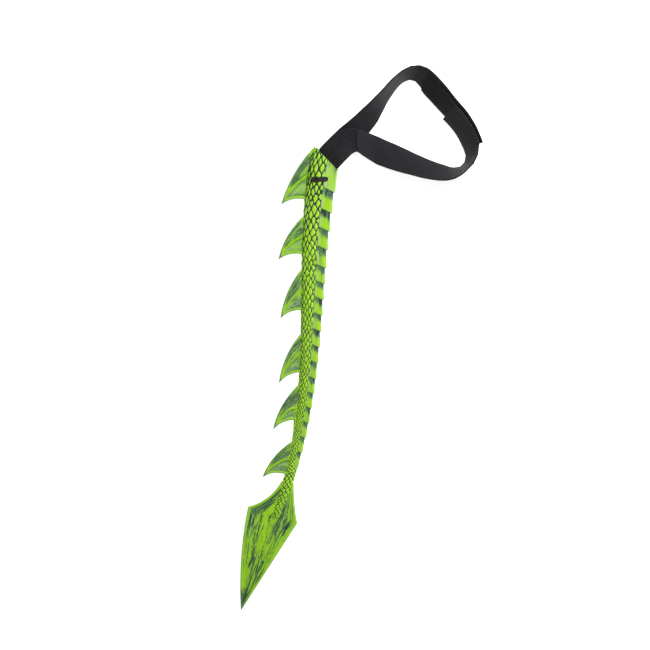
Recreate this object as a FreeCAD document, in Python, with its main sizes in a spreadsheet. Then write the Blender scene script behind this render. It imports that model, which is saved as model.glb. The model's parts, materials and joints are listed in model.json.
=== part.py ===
"""Dress-up dragon tail: a foam tail that flexes at six places, on an elastic waist belt.

The tail is drawn flat, with its middle plane at z = 0, +Y up the tail and the fins towards -X.
Every sub-part then gets the same Placement, which lays the tail with its underside on the floor.
"""

import FreeCAD, Part
import math
import os

import Sketcher
from FreeCAD import Placement, Rotation, Vector

SIZES = {
    "trunk_width": 23.0,  # across the scaly trunk, at y = 0
    "trunk_taper": 0.0656,  # more width for each mm up the tail
    "skin_base": 2.0,  # half the trunk's thickness is skin_base + skin_share * width
    "skin_share": 0.3,
    "seam_share": 0.06,  # the belly plates start this share of the width past the spine
    "spine_base": -60.5,  # x of the spine at y = 0, and how it bends with (y / 100)
    "spine_lean": 5.7,
    "spine_bow": -2.7,
    "spine_curl": 1.86,
    "sheet_thickness": 6.6,  # fins, blade and the sheet inside the trunk
    "barrel_radius": 3.0,  # round end of each length of sheet, on its flex axis
    "plate_lip": 1.5,  # how far a belly plate's lower edge stands out
    "strap_width": 32.0,
    "strap_thickness": 1.6,
    "patch_width": 30.0,
    "patch_thickness": 1.2,
    "hook_patch_aside": 2.2,  # the hook patch is sewn this far off the strap's middle
    "loop_end_aside": 3.5,  # and the loop end is stuck this far off the hook end's middle
    "tack_length": 17.5,
    "tack_width": 5.0,
    "tack_thickness": 2.5,
    "tack_cord": 1.4,  # radius of the cord that goes through the tail
}

# Flex axes from the top down: height y, and how far the foam bends each way in degrees.
FLEX = [(149.0, 15), (84.0, 15), (9.5, 18), (-46.5, 20), (-116.0, 22), (-164.5, 25)]
PLATES_PER_LENGTH = [2, 3, 4, 3, 4, 2]
PLATES_BOTTOM = -151.0
SHOULDER = 197.4  # y where the slanted top meets the front edge
APEX = (-55.9, 223.6)
NOSE = (-29.0, SHOULDER)
CAP_TOP = APEX[1] + 4

# Fins from the top down: y of the root's top, tip, y of the root's bottom.
FINS = [
    (APEX[1], (-94.5, 156.5), 162.5),
    (142.4, (-97.7, 92.1), 98.3),
    (80.0, (-95.2, 23.1), 32.8),
    (4.5, (-97.3, -52.9), -40.1),
    (-55.6, (-104.1, -107.1), -96.0),
    (-122.0, (-116.3, -162.9), -159.5),
]
FIN_UPPER_RISE = 4.5  # the upper edge of a fin swells, the lower edge is hollow
FIN_LOWER_RISE = 3.0

BLADE_TIP = (-141.7, -319.4)
BLADE_LEFT = (-133.4, -197.8)
BLADE_RIGHT = (-76.0, -217.4)
TRUNK_END = -214.0  # the trunk's rounded end lies on the blade

# Heights where the spine changes direction.
KNEES = [CAP_TOP, SHOULDER, *[y for y, bend in FLEX], TRUNK_END]

CLEARANCE = 0.35  # between neighbours that move past each other
SOCKET_MARGIN = 0.2  # the skins also stop this far short of a flex axis

TACK = (-49.5, 185.5)
# Hidden end of the belt, trimmed to the shape of the tail's top.
TONGUE = [(-52.0, 219.5), (-30.6, 198.6), (-47.5, 198.6), (-47.5, 176.0), (-57.0, 176.0), (-57.0, 214.5)]

# Belt routes. Each station is the middle of the strap (x, y), the plan direction from its inner to
# its outer edge and the lean of the outer edge upwards, both in degrees, and the height of the
# lower of the two edges above the floor.
BELT_ROOT = (-39.0, 209.9, -44.2)
UPPER_RUN = [
    (-31.5, 218.0, 134, 2, 11.6),
    (-18.5, 231.5, 133, 14, 6.4),
    (-3.3, 246.9, 138, 32, 2.2),
    (8.6, 259.8, 138, 43, 1.0),
    (18.4, 272.4, 134, 56, 0.9),
    (27.5, 284.6, 124, 65, 0.9),
    (37.4, 297.0, 110, 67, 0.9),
    (47.0, 305.7, 96, 66, 0.9),
    (56.8, 310.4, 84, 62, 0.9),
]
HOOK_BEND = [
    UPPER_RUN[-1],
    (64.6, 309.8, 76, 55, 0.9),
    (72.9, 304.7, 66, 45, 1.0),
    (80.4, 297.0, 57, 42, 1.0),
    (90.0, 286.5, 50, 44, 1.0),
    (102.0, 272.6, 48, 48, 1.0),
]
CLOSURE = [
    (106.0, 268.0, 47, 49, 1.0),
    (117.0, 255.0, 39, 51, 1.0),
    (125.8, 241.0, 28, 53, 1.0),
    (132.3, 225.7, 17, 55, 1.0),
]
LOWER_RUN = [
    (-31.0, 218.4, -46, -3, 15.3),
    (-21.5, 227.3, -50, -12, 12.5),
    (-12.0, 231.0, -64, -18, 8.8),
    (-2.0, 229.0, -81, -14, 6.2),
    (9.0, 224.0, -91, -5, 4.4),
    (22.0, 217.8, -98, 6, 2.4),
    (40.0, 210.6, -103, 20, 1.4),
    (58.0, 203.8, -107, 34, 1.2),
    (76.0, 197.6, -106, 44, 1.2),
    (94.0, 193.4, -99, 53, 1.2),
    (107.0, 193.0, -80, 65, 1.2),
    (118.4, 197.6, -46, 75, 1.2),
]
LOOP_BEND = [
    LOWER_RUN[-1],
    (125.3, 205.0, -16, 73, 1.0),
    (128.4, 214.0, 5, 66, 1.8),
]

class Dim:
    """A size, kept both as a number and as the spreadsheet formula that gives it."""

    def __init__(self, value, formula=None):
        self.value = float(value)
        self.formula = formula or f"({self.value:.5f})"

    @staticmethod
    def of(value):
        return value if isinstance(value, Dim) else Dim(value)

    def joined(self, sign, other, value):
        return Dim(value, f"({self.formula} {sign} {other.formula})")

    def __add__(self, other):
        other = Dim.of(other)
        return self.joined("+", other, self.value + other.value)

    def __sub__(self, other):
        other = Dim.of(other)
        return self.joined("-", other, self.value - other.value)

    def __mul__(self, other):
        other = Dim.of(other)
        return self.joined("*", other, self.value * other.value)

    def __truediv__(self, other):
        other = Dim.of(other)
        return self.joined("/", other, self.value / other.value)

    def __neg__(self):
        return Dim(0) - self


def size(name):
    return Dim(SIZES[name], f"Sizes.{name}")


def make_sheet(doc):
    sheet = doc.addObject("Spreadsheet::Sheet", "Sizes")
    for row, (name, value) in enumerate(SIZES.items(), start=1):
        sheet.set(f"A{row}", name)
        sheet.set(f"B{row}", str(value))
        sheet.setAlias(f"B{row}", name)
    doc.recompute()
    return sheet


# ---- Shape of the trunk ----


def width(y):
    return size("trunk_width") + size("trunk_taper") * y


def depth(y):
    """Half the trunk's thickness."""
    return size("skin_base") + size("skin_share") * width(y)


def spine_curve(y):
    bend = y / 100
    straight = size("spine_base") + size("spine_lean") * bend
    return straight + size("spine_bow") * bend**2 + size("spine_curl") * bend**3


def spine(y):
    """The spine runs straight from one of its knees to the next."""
    upper = next(i for i, knee in enumerate(KNEES[1:]) if y >= knee)
    high, low = KNEES[upper], KNEES[upper + 1]
    share = (high - y) / (high - low)
    return spine_curve(high) * (1 - share) + spine_curve(low) * share


def left(y):
    return spine(y) - width(y) / 2


def right(y):
    return spine(y) + width(y) / 2


def seam(y):
    """Where the skins end and the belly plates begin."""
    return spine(y) + width(y) * size("seam_share")


def half_sheet():
    return size("sheet_thickness") / 2


def arch_radius(reach, rise):
    """Radius of an arc that leaves level, and drops by rise over the distance reach."""
    return (reach * reach + rise * rise) / (rise * 2)


def bowed(start, end, rise):
    """Radius of the arc between two points that swells by rise."""
    chord = math.hypot(end[0] - start[0], end[1] - start[1])
    return (chord**2 / 4 + rise**2) / (2 * rise)


def flex_slope(index):
    """Slope of the skins' ends at a flex axis, which leaves room for half of its bend."""
    return math.tan(math.radians(FLEX[index][1] / 2 + 1))


# ---- Sketches ----


def origin_plane(body, role):
    return next(item for item in body.Origin.OriginFeatures if item.Role == role)


def new_sketch(body, name, role, offset):
    sketch = body.newObject("Sketcher::SketchObject", name)
    sketch.AttachmentSupport = [(origin_plane(body, role), "")]
    sketch.MapMode = "FlatFace"
    sketch.AttachmentOffset = offset
    return sketch


def across_tail(body, name, y, slope=0.0):
    """A sketch in the plane across the tail at height y. Its top leans down the tail by this slope."""
    lean = Rotation(Vector(1, 0, 0), math.degrees(math.atan(slope)))
    return new_sketch(body, name, "XZ_Plane", Placement(Vector(0, 0, -y), lean))


def in_plan(body, name):
    return new_sketch(body, name, "XY_Plane", Placement())


def bind(sketch, constraint, name, dim):
    index = sketch.addConstraint(constraint)
    sketch.renameConstraint(index, name)
    sketch.setExpression(f"Constraints.{name}", dim.formula)


def arc_between(start, end, radius):
    """The short arc from start to end. It swells to the right of its travel if radius is positive."""
    chord = end - start
    middle = (start + end) / 2
    outward = Vector(chord.y, -chord.x, 0).normalize() * math.copysign(1, radius)
    apothem = math.sqrt(max(radius**2 - chord.Length**2 / 4, 0))
    return Part.Arc(start, middle + outward * (abs(radius) - apothem), end)


def draw(sketch, corners):
    """Closed outline, counterclockwise. A corner (x, y, radius) is reached along an arc."""
    corners = [tuple(Dim.of(number) for number in corner) for corner in corners]
    points = [Vector(corner[0].value, corner[1].value, 0) for corner in corners]
    ends = []
    for i, corner in enumerate(corners):
        start, end = points[i - 1], points[i]
        if len(corner) == 3:
            side = sketch.addGeometry(arc_between(start, end, corner[2].value), False)
            radius = corner[2] if corner[2].value > 0 else -corner[2]
            bind(sketch, Sketcher.Constraint("Radius", side, radius.value), f"radius_{i}", radius)
        else:
            side = sketch.addGeometry(Part.LineSegment(start, end), False)
        forwards = sketch.getPoint(side, 1).distanceToPoint(start) < 1e-6
        ends.append((side, 1 if forwards else 2, 2 if forwards else 1))
    for i, (side, first, last) in enumerate(ends):
        following = ends[(i + 1) % len(ends)]
        sketch.addConstraint(Sketcher.Constraint("Coincident", side, last, following[0], following[1]))
        x, y = corners[i][0], corners[i][1]
        bind(sketch, Sketcher.Constraint("DistanceX", -1, 1, side, last, x.value), f"x_{i}", x)
        bind(sketch, Sketcher.Constraint("DistanceY", -1, 1, side, last, y.value), f"y_{i}", y)
    return sketch


def new_body(doc, label):
    body = doc.addObject("PartDesign::Body", label)
    body.Label = label
    return body


def loft(body, sketches):
    feature = body.newObject("PartDesign::AdditiveLoft", "Loft")
    feature.Profile = sketches[0]
    feature.Sections = sketches[1:]
    feature.Ruled = True
    return feature


def pad(body, sketch, length):
    feature = body.newObject("PartDesign::Pad", "Pad")
    feature.Profile = sketch
    feature.SideType = "Symmetric"
    feature.setExpression("Length", length.formula)
    return feature


def pocket(body, sketch, length):
    """Cuts the same depth each way from the sketch, so its direction doesn't matter."""
    feature = body.newObject("PartDesign::Pocket", "Pocket")
    feature.Profile = sketch
    feature.SideType = "Symmetric"
    feature.setExpression("Length", length.formula)
    return feature


# ---- Foam ----


def skin_corners(y, slope):
    """Section of a skin from the seam to the fins, in a plane that leans down by this slope."""
    stretch = math.hypot(1, slope)
    base, rise = half_sheet() * stretch, (depth(y) - half_sheet()) * stretch
    base_y, top_y = y - slope * half_sheet().value, y - slope * depth(y).value
    radius = arch_radius(seam(y) - left(y), rise)
    return [(seam(base_y), base), (seam(top_y), base + rise), (left(base_y), base, radius)]


def arched_corners(y, share, slope=0.0):
    """Section over the whole width of the trunk, or over a share of it."""
    stretch = math.hypot(1, slope)
    half = width(y) / 2 * share
    base, rise = half_sheet() * stretch, (depth(y) - half_sheet()) * share * stretch
    radius = arch_radius(half, rise)
    return [(spine(y) + half, base), (spine(y), base + rise, radius), (spine(y) - half, base, radius)]


def add_cap(body):
    """The top of a skin, above the first belly plate, as far as the slanted edge."""
    lower = draw(across_tail(body, "CapBottom", SHOULDER), arched_corners(SHOULDER, 0.94))
    upper = draw(across_tail(body, "CapTop", CAP_TOP), arched_corners(CAP_TOP, 0.8))
    loft(body, [lower, upper])
    cut_slant(body)


def cut_slant(body):
    """Cuts away what lies beyond the slanted top edge."""
    slant = ((NOSE[0] - APEX[0]) / 2, (NOSE[1] - APEX[1]) / 2)
    below = (NOSE[0] + slant[0], NOSE[1] + slant[1])
    above = (APEX[0] - slant[0], APEX[1] - slant[1])
    triangle = [below, (below[0], above[1]), above]
    pocket(body, draw(in_plan(body, "Slant"), triangle), Dim(100))


def add_wrist(body, top, bottom, bottom_y):
    """A skin that goes on below the last belly plate, where it covers the whole width."""
    last = across_tail(body, "LastPlate", PLATES_BOTTOM)
    draw(last, skin_corners(PLATES_BOTTOM, 0))
    loft(body, [top, last])
    whole = across_tail(body, "Wrist", PLATES_BOTTOM)
    draw(whole, arched_corners(PLATES_BOTTOM, 1.0))
    draw(bottom, arched_corners(bottom_y, 1.0, -flex_slope(len(FLEX) - 1)))
    loft(body, [whole, bottom])


def raised(sketch, height):
    """Lifts a plan sketch off the middle plane."""
    sketch.AttachmentOffset = Placement(Vector(0, 0, height.value), Rotation())
    sketch.setExpression("AttachmentOffset.Base.z", height.formula)
    return sketch


def tack_bar(body, name, margin):
    """Plan of the tack's flat bar, with a margin around it."""
    half_length, half_width = size("tack_length") / 2 + margin, size("tack_width") / 2 + margin
    x, y = Dim(TACK[0]), Dim(TACK[1])
    corners = [
        (x + half_length, y - half_width),
        (x + half_length, y + half_width),
        (x - half_length, y + half_width),
        (x - half_length, y - half_width),
    ]
    return draw(in_plan(body, name), corners)


def add_tack_recess(body, side):
    """Sinks the tack's bar into the foam on the right side (1) or the left side (-1)."""
    half_cut = 10
    bed = depth(TACK[1]) - size("tack_thickness") + half_cut
    bar = tack_bar(body, "TackRecess", 0.2)
    pocket(body, raised(bar, bed if side > 0 else -bed), Dim(2 * half_cut))


def tack_circle(body):
    circle = in_plan(body, "TackHole")
    side = circle.addGeometry(Part.Circle(Vector(*TACK, 0), Vector(0, 0, 1), SIZES["tack_cord"]), False)
    bind(circle, Sketcher.Constraint("Radius", side, SIZES["tack_cord"]), "cord", size("tack_cord"))
    circle.addConstraint(Sketcher.Constraint("DistanceX", -1, 1, side, 3, TACK[0]))
    circle.addConstraint(Sketcher.Constraint("DistanceY", -1, 1, side, 3, TACK[1]))
    return circle


def right_cover(doc, index):
    """Scaly skin on the right side of one length of the trunk."""
    body = new_body(doc, f"right_cover_{index + 1}")
    slope = flex_slope(index - 1) if index > 0 else 0
    top_y = FLEX[index - 1][0] - SOCKET_MARGIN if index > 0 else SHOULDER
    top = across_tail(body, "Top", top_y, slope)
    if index < len(FLEX):
        bottom_y = FLEX[index][0] + SOCKET_MARGIN
        bottom = across_tail(body, "Bottom", bottom_y, -flex_slope(index))
        draw(top, skin_corners(top_y, slope))
        if bottom_y > PLATES_BOTTOM:
            draw(bottom, skin_corners(bottom_y, -flex_slope(index)))
            loft(body, [top, bottom])
        else:
            add_wrist(body, top, bottom, bottom_y)
    else:
        middle_y = (top_y + TRUNK_END) / 2
        middle = across_tail(body, "Middle", middle_y)
        bottom = across_tail(body, "Bottom", TRUNK_END)
        draw(top, arched_corners(top_y, 1.0, slope))
        draw(middle, arched_corners(middle_y, 0.9))
        draw(bottom, arched_corners(TRUNK_END, 0.4))
        loft(body, [top, middle, bottom])
    if index == 0:
        add_cap(body)
        add_tack_recess(body, 1)
        pocket(body, tack_circle(body), Dim(100))
    return body


def left_cover(doc, index, source):
    """The same skin on the left side, a mirror image."""
    label = f"left_cover_{index + 1}"
    mirrored = doc.addObject("Part::Mirroring", label)
    mirrored.Label = label
    mirrored.Source = source
    mirrored.Normal = Vector(0, 0, 1)
    return mirrored


def add_barrel(body, y, end):
    """Round end of a length of sheet, along its flex axis as far as x = end."""
    start = left(y) + 1
    length = end - start
    circle = new_sketch(body, "Barrel", "YZ_Plane", Placement(Vector(0, 0, start.value), Rotation()))
    circle.setExpression("AttachmentOffset.Base.z", start.formula)
    radius = SIZES["barrel_radius"]
    side = circle.addGeometry(Part.Circle(Vector(y, 0, 0), Vector(0, 0, 1), radius), False)
    bind(circle, Sketcher.Constraint("Radius", side, radius), "barrel", size("barrel_radius"))
    circle.addConstraint(Sketcher.Constraint("DistanceX", -1, 1, side, 3, y))
    circle.addConstraint(Sketcher.Constraint("PointOnObject", side, 3, -1))
    feature = body.newObject("PartDesign::Pad", "BarrelPad")
    feature.Profile = circle
    feature.setExpression("Length", length.formula)


def strip_top(index):
    return FLEX[index - 1][0] - size("barrel_radius").value / 2


def strip_bottom(index):
    return FLEX[index][0] + size("barrel_radius").value + CLEARANCE


def fin(doc, index):
    """One length of the inner sheet, with its fin."""
    body = new_body(doc, f"fin_{index + 1}")
    root_top, tip, root_bottom = FINS[index]
    low = strip_bottom(index)
    if index == 0:
        start = APEX
        front = [(seam(low) - 0.4, low), (seam(SHOULDER) - 0.4, SHOULDER), NOSE, APEX]
    else:
        high = strip_top(index)
        start = (left(root_top).value, root_top)
        front = [(seam(low) - 0.4, low)]
        if low < PLATES_BOTTOM:
            front = [(right(low), low), (right(PLATES_BOTTOM), PLATES_BOTTOM)]
            front.append((seam(PLATES_BOTTOM) - 0.4, PLATES_BOTTOM))
        front.extend([(seam(high) - 0.4, high), (left(high), high), (left(root_top), root_top)])
    root = (left(root_bottom).value, root_bottom)
    corners = [
        (*tip, bowed(start, tip, FIN_UPPER_RISE)),
        (left(root_bottom), root_bottom, -bowed(tip, root, FIN_LOWER_RISE)),
        (left(low), low),
        *front,
    ]
    pad(body, draw(in_plan(body, "Outline"), corners), size("sheet_thickness"))
    if index == 0:
        pocket(body, draw(in_plan(body, "Slit"), TONGUE[::-1]), size("strap_thickness") * 2)
        pocket(body, tack_circle(body), Dim(100))
    else:
        y = FLEX[index - 1][0]
        add_barrel(body, y, seam(y - SIZES["barrel_radius"]) - 0.5)
    return body


def blade(doc):
    """Last length of the sheet, which widens to the spade-shaped blade."""
    body = new_body(doc, "tail_blade")
    index = len(FLEX)
    high = strip_top(index)
    neck = (left(high).value - 1.0, high)
    shoulder = (right(high).value, high)
    corners = [
        (*BLADE_LEFT, -bowed(neck, BLADE_LEFT, 5.5)),
        (*BLADE_TIP, bowed(BLADE_LEFT, BLADE_TIP, 4.0)),
        BLADE_RIGHT,
        (right(high), high, -bowed(BLADE_RIGHT, shoulder, 1.5)),
        neck,
    ]
    pad(body, draw(in_plan(body, "Outline"), corners), size("sheet_thickness"))
    y = FLEX[-1][0]
    add_barrel(body, y, right(y) - 1)
    return body


def plate_corners(y, lip):
    front = right(y) + lip
    edge = seam(y)
    rise = depth(y) + lip * 0.4
    radius = arch_radius(front - edge, rise)
    return [(edge, -rise), (front, 0, radius), (edge, rise, radius)]


def belly_plate(doc, number, top_y, bottom_y):
    body = new_body(doc, f"belly_plate_{number}")
    sections = [across_tail(body, "Top", top_y), across_tail(body, "Bottom", bottom_y)]
    draw(sections[0], plate_corners(top_y, Dim(0)))
    draw(sections[1], plate_corners(bottom_y, size("plate_lip")))
    loft(body, sections)
    if top_y == SHOULDER:
        cut_slant(body)
    if bottom_y < TACK[1] < top_y:
        add_tack_recess(body, 1)
        add_tack_recess(body, -1)
    return body


def belly_plates(doc):
    """The plates divide each length of the trunk evenly, and stop short of its flex axes."""
    plates = []
    high = SHOULDER
    for index, count in enumerate(PLATES_PER_LENGTH):
        low = FLEX[index][0] if index < len(FLEX) - 1 else PLATES_BOTTOM
        pitch = (high - low) / count
        for i in range(count):
            top_y = high - i * pitch
            bottom_y = top_y - pitch
            if i == 0 and index > 0:
                top_y -= plate_margin(index - 1)
            if i == count - 1 and index < len(FLEX) - 1:
                bottom_y += plate_margin(index)
            plates.append(belly_plate(doc, len(plates) + 1, top_y, bottom_y))
        high = low
    return plates


def plate_margin(index):
    y = FLEX[index][0]
    return CLEARANCE + (depth(y).value + SIZES["plate_lip"]) * flex_slope(index)


def belt_tack(doc):
    """Black cord tied off in a flat bar on each side of the tail."""
    body = new_body(doc, "belt_tack")
    thick = size("tack_thickness")
    middle = depth(TACK[1]) - thick / 2
    pad(body, tack_circle(body), middle * 2)
    pad(body, raised(tack_bar(body, "RightBar", 0), middle), thick)
    pad(body, raised(tack_bar(body, "LeftBar", 0), -middle), thick)
    return body


# ---- Belt ----


def lay_flat():
    """Tilts the tail so that its first belly plate and the blade's tip rest on the floor."""
    first_lip = SHOULDER - (SHOULDER - FLEX[0][0]) / PLATES_PER_LENGTH[0]
    thick = depth(first_lip).value + SIZES["plate_lip"] * 0.4
    thin = half_sheet().value
    tilt = math.atan((thick - thin) / (first_lip - BLADE_TIP[1]))
    lift = thin * math.cos(tilt) - BLADE_TIP[1] * math.sin(tilt)
    return tilt, lift


def centred():
    """Puts the origin under the middle of the whole object."""
    tilt, lift = lay_flat()
    return Placement(Vector(0.3, -0.2, lift), Rotation(Vector(1, 0, 0), math.degrees(tilt)))


class Station:
    """Middle of the strap, with the directions along its width and out of its inner face."""

    def __init__(self, middle, across, inward):
        self.middle = middle
        self.across = across
        self.inward = inward

    def moved(self, distance, aside=0):
        """The station beyond the inner face, and towards the inner edge by aside."""
        middle = self.middle + self.inward * distance - self.across * aside
        return Station(middle, self.across, self.inward)


def floor_height(y):
    """Height of the floor, measured from the tail's middle plane."""
    tilt, lift = lay_flat()
    return -(lift + y * math.sin(tilt)) / math.cos(tilt)


def refined(entries, steps=4):
    """Puts more stations on the smooth curve through the given ones."""
    extended = [entries[0], *entries, entries[-1]]
    fine = []
    for a, b, c, d in zip(extended, extended[1:], extended[2:], extended[3:]):
        for step in range(steps):
            u = step / steps
            weights = (
                (-u + 2 * u**2 - u**3) / 2,
                (2 - 5 * u**2 + 3 * u**3) / 2,
                (u + 4 * u**2 - 3 * u**3) / 2,
                (-(u**2) + u**3) / 2,
            )
            columns = zip(a, b, c, d)
            fine.append(tuple(sum(w * v for w, v in zip(weights, column)) for column in columns))
    return [*fine, entries[-1]]


def station(entry):
    x, y, bearing, lean, low = entry
    bearing, lean = math.radians(bearing), math.radians(lean)
    height = floor_height(y) + low + SIZES["strap_width"] / 2 * abs(math.sin(lean))
    plan = Vector(math.cos(bearing), math.sin(bearing), 0)
    across = plan * math.cos(lean) + Vector(0, 0, math.sin(lean))
    inward = Vector(0, 0, math.cos(lean)) - plan * math.sin(lean)
    return Station(Vector(x, y, height), across, inward)


def stations(entries):
    """Stations along a route, with each inward direction squared to the route."""
    route = [station(entry) for entry in refined(entries)]
    for i, here in enumerate(route):
        along = (route[min(i + 1, len(route) - 1)].middle - route[max(i - 1, 0)].middle).normalize()
        here.inward = (here.inward - along * here.inward.dot(along)).normalize()
    return route


def from_root(entries, layer):
    """A strap that starts at the tail, flat against the middle plane, as one of the two layers."""
    x, y, bearing = BELT_ROOT
    if layer < 0:
        bearing += 180
    root = (x, y, bearing, 0, layer - floor_height(y))
    route = stations([root, *entries])
    route[0].inward = Vector(0, 0, 1)
    return route


def shortened(route, gap):
    """The same route, ending a gap before its last station."""
    last, before = route[-1], route[-2]
    back = (before.middle - last.middle).normalize() * gap
    return [*route[:-1], Station(last.middle + back, last.across, last.inward)]


def section(at, wide, thick):
    half, side = at.across * (wide / 2), at.inward * (thick / 2)
    corners = [at.middle + half * u + side * v for u, v in ((1, 1), (-1, 1), (-1, -1), (1, -1))]
    return Part.makePolygon([*corners, corners[0]])


def ribbon(route, wide, thick):
    """Solid strap through the stations, with a rectangular section."""
    return Part.makeLoft([section(here, wide, thick) for here in route], True, True)


def round_ended_ribbon(route, wide, thick):
    """The same, with a half-round end on the fold axis through its first station."""
    first = route[0]
    back = first.across.cross(first.inward).normalize()
    if back.dot(route[1].middle - first.middle) > 0:
        back = -back
    wires = []
    for angle in (math.radians(80), math.radians(58), math.radians(30)):
        reach = Station(first.middle + back * (thick / 2 * math.sin(angle)), first.across, first.inward)
        wires.append(section(reach, wide, thick * math.cos(angle)))
    wires.extend(section(here, wide, thick) for here in route)
    return Part.makeLoft(wires, True, True)


def plain_part(doc, label, shape):
    feature = doc.addObject("Part::Feature", label)
    feature.Label = label
    feature.Shape = shape
    return feature


def tongue(doc, label, side):
    """End of one strap inside the slit of the tail. Side is 1 for the layer nearer the right face."""
    thick = SIZES["strap_thickness"]
    outline = Part.makePolygon([Vector(x, y, 0) for x, y in [*TONGUE, TONGUE[0]]])
    shape = Part.Face(outline).extrude(Vector(0, 0, side * thick))
    hole = Part.makeCylinder(SIZES["tack_cord"], 4 * thick, Vector(*TACK, -2 * thick))
    return plain_part(doc, label, shape.cut(hole))


def root_end(shape, at, side):
    """Quarter-round end at the tail, which shares its axis with the other layer."""
    thick, wide = SIZES["strap_thickness"], SIZES["strap_width"]
    start = Vector(at.middle.x, at.middle.y, 0) - at.across * (wide / 2)
    cylinder = Part.makeCylinder(thick, wide, start, at.across)
    layer = Part.makeBox(200, 200, thick, Vector(at.middle.x - 100, at.middle.y - 100, 0))
    if side < 0:
        layer.translate(Vector(0, 0, -thick))
    return shape.fuse(cylinder.common(layer).cut(shape))


def straps(doc):
    """The whole belt: tongues, runs, and the two ends that close on each other."""
    thick, wide = SIZES["strap_thickness"], SIZES["strap_width"]
    patch, narrow = SIZES["patch_thickness"], SIZES["patch_width"]
    split_gap = thick / 2 + CLEARANCE
    upper, lower = from_root(UPPER_RUN, -thick / 2), from_root(LOWER_RUN, thick / 2)
    bend, closure = stations(HOOK_BEND), stations(CLOSURE)
    hook_route = [*bend, *closure]
    hook_offset = (thick + patch) / 2
    loop_patch_offset = hook_offset + patch + CLEARANCE
    loop_offset = loop_patch_offset + (thick + patch) / 2
    last = len(closure) - 1
    asides = [SIZES["loop_end_aside"] * (1 - i / last / 2) for i in range(len(closure))]
    overlap = list(zip(closure, asides))[::-1]
    closing = [spot.moved(loop_offset, aside) for spot, aside in overlap]
    loop_route = [*stations(LOOP_BEND), *closing]
    hooks = [spot.moved(hook_offset, SIZES["hook_patch_aside"]) for spot in hook_route[len(bend) // 3 :]]
    loops = [spot.moved(loop_patch_offset, aside) for spot, aside in overlap]
    upper_run = ribbon(shortened(upper, split_gap), wide, thick)
    lower_run = ribbon(shortened(lower, split_gap), wide, thick)
    return [
        tongue(doc, "upper_strap_tongue", -1),
        tongue(doc, "lower_strap_tongue", 1),
        plain_part(doc, "upper_strap", root_end(upper_run, upper[0], -1)),
        plain_part(doc, "lower_strap", root_end(lower_run, lower[0], 1)),
        plain_part(doc, "hook_end", round_ended_ribbon(hook_route, wide, thick)),
        plain_part(doc, "loop_end", round_ended_ribbon(loop_route, wide, thick)),
        plain_part(doc, "hook_patch", ribbon(hooks, narrow, patch)),
        plain_part(doc, "loop_patch", ribbon(loops, narrow, patch)),
    ]


# ---- Assembly ----


def check(part):
    failed = [flag for flag in part.State if flag in ("Invalid", "Error")]
    if failed or part.Shape.isNull() or not part.Shape.isValid():
        raise RuntimeError(f"{part.Label} failed: {part.State}")


def build():
    doc = FreeCAD.newDocument("DragonTail")
    make_sheet(doc)
    lengths = range(len(FLEX) + 1)
    covers = [right_cover(doc, index) for index in lengths]
    parts = [fin(doc, index) for index in range(len(FLEX))]
    parts.append(blade(doc))
    parts.extend(belly_plates(doc))
    parts.append(belt_tack(doc))
    parts.extend(straps(doc))
    mirrored = [left_cover(doc, index, covers[index]) for index in lengths]
    doc.recompute()
    return doc, parts, covers, mirrored


def main():
    doc, parts, covers, mirrored = build()
    laid = centred()
    for part in [*parts, *covers]:
        part.Placement = laid
    for part in mirrored:
        part.Base = laid.Base
        part.Normal = laid.Rotation.multVec(Vector(0, 0, 1))
    doc.recompute()
    os.makedirs("parts", exist_ok=True)
    for item in doc.Objects:
        if "Invalid" in item.State or "Error" in item.State:
            raise RuntimeError(f"{item.Label} is {item.State}")
    everything = [*parts, *covers, *mirrored]
    for part in everything:
        check(part)
    for part in everything:
        part.Shape.exportStep(f"parts/{part.Label}.step")
    whole = FreeCAD.BoundBox()
    for part in everything:
        whole.add(part.Shape.BoundBox)
    print("parts", len(everything), "box", whole)


main()
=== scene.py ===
"""Looks of the dress-up dragon tail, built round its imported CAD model.

Lengths are in metres. The foam is shaped in the tail's own frame, whose middle plane is z = 0 with y
up the tail, and then laid down the way the CAD tail lies. The belt is shaped where it lies.
"""

import json
import math

import bmesh
import bpy
import numpy as np
from mathutils import Matrix, Vector

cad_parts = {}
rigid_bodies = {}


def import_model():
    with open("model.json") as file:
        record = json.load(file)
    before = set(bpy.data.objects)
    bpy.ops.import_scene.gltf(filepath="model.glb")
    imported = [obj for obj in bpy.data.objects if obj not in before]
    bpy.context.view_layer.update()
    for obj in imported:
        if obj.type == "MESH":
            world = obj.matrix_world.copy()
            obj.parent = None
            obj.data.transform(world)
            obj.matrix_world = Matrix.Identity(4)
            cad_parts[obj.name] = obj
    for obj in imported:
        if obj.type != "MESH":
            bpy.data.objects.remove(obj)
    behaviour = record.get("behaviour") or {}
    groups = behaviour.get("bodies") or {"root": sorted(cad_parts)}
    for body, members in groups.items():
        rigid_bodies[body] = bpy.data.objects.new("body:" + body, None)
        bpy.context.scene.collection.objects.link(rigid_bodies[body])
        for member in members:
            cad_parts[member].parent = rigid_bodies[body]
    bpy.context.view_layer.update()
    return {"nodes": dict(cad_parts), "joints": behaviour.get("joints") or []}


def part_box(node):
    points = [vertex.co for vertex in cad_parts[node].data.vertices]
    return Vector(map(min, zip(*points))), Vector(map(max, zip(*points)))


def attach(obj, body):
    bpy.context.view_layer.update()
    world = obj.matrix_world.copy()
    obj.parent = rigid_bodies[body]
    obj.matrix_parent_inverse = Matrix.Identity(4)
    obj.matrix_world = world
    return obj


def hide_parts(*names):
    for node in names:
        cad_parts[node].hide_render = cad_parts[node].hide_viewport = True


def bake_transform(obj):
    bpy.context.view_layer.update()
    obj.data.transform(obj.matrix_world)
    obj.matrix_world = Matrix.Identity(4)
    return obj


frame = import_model()

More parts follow.
